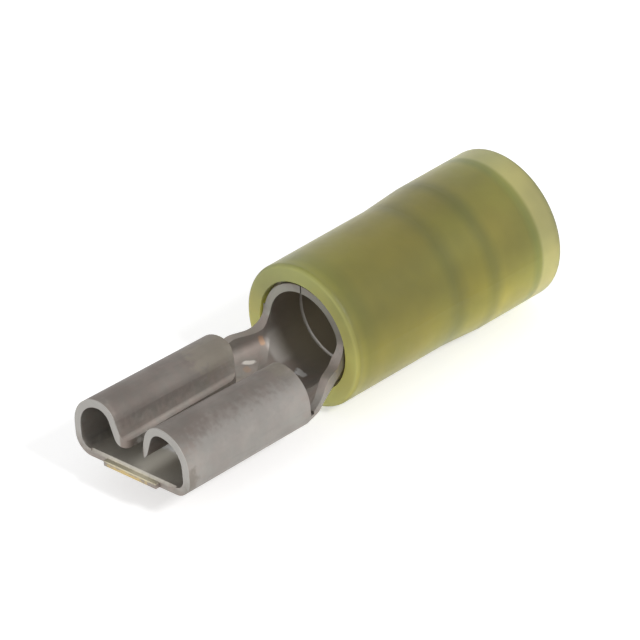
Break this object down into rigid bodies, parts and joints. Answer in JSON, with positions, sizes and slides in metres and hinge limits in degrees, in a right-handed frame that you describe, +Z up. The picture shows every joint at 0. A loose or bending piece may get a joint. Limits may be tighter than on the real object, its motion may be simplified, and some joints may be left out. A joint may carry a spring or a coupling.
{
  "type": "female spade terminal",
  "caption": "Insulated female spade terminal: a rolled-edge receptacle for a flat tab, a neck and a crimp barrel in a translucent yellow nylon sleeve.",
  "frame": {"origin": "centre of the tab slot at the mouth of the receptacle, midway through the tab's thickness and width", "axes": "+Y along the terminal from the mouth to the wire end, +Z up from the flat base to the rolls, +X across the tab"},
  "size_m": [0.0078, 0.0259, 0.0078],
  "materials": {
    "tinned_brass": "brass strip with a satin tin plating, bare brass where it was sheared",
    "grip_metal": "thin tinned brass tube",
    "yellow_nylon": "translucent yellow nylon, smooth satin"
  },
  "bodies": {
    "root": {"terminal_body": "tinned_brass", "insulation_grip": "grip_metal", "nylon_sleeve": "yellow_nylon"}
  },
  "joints": []
}
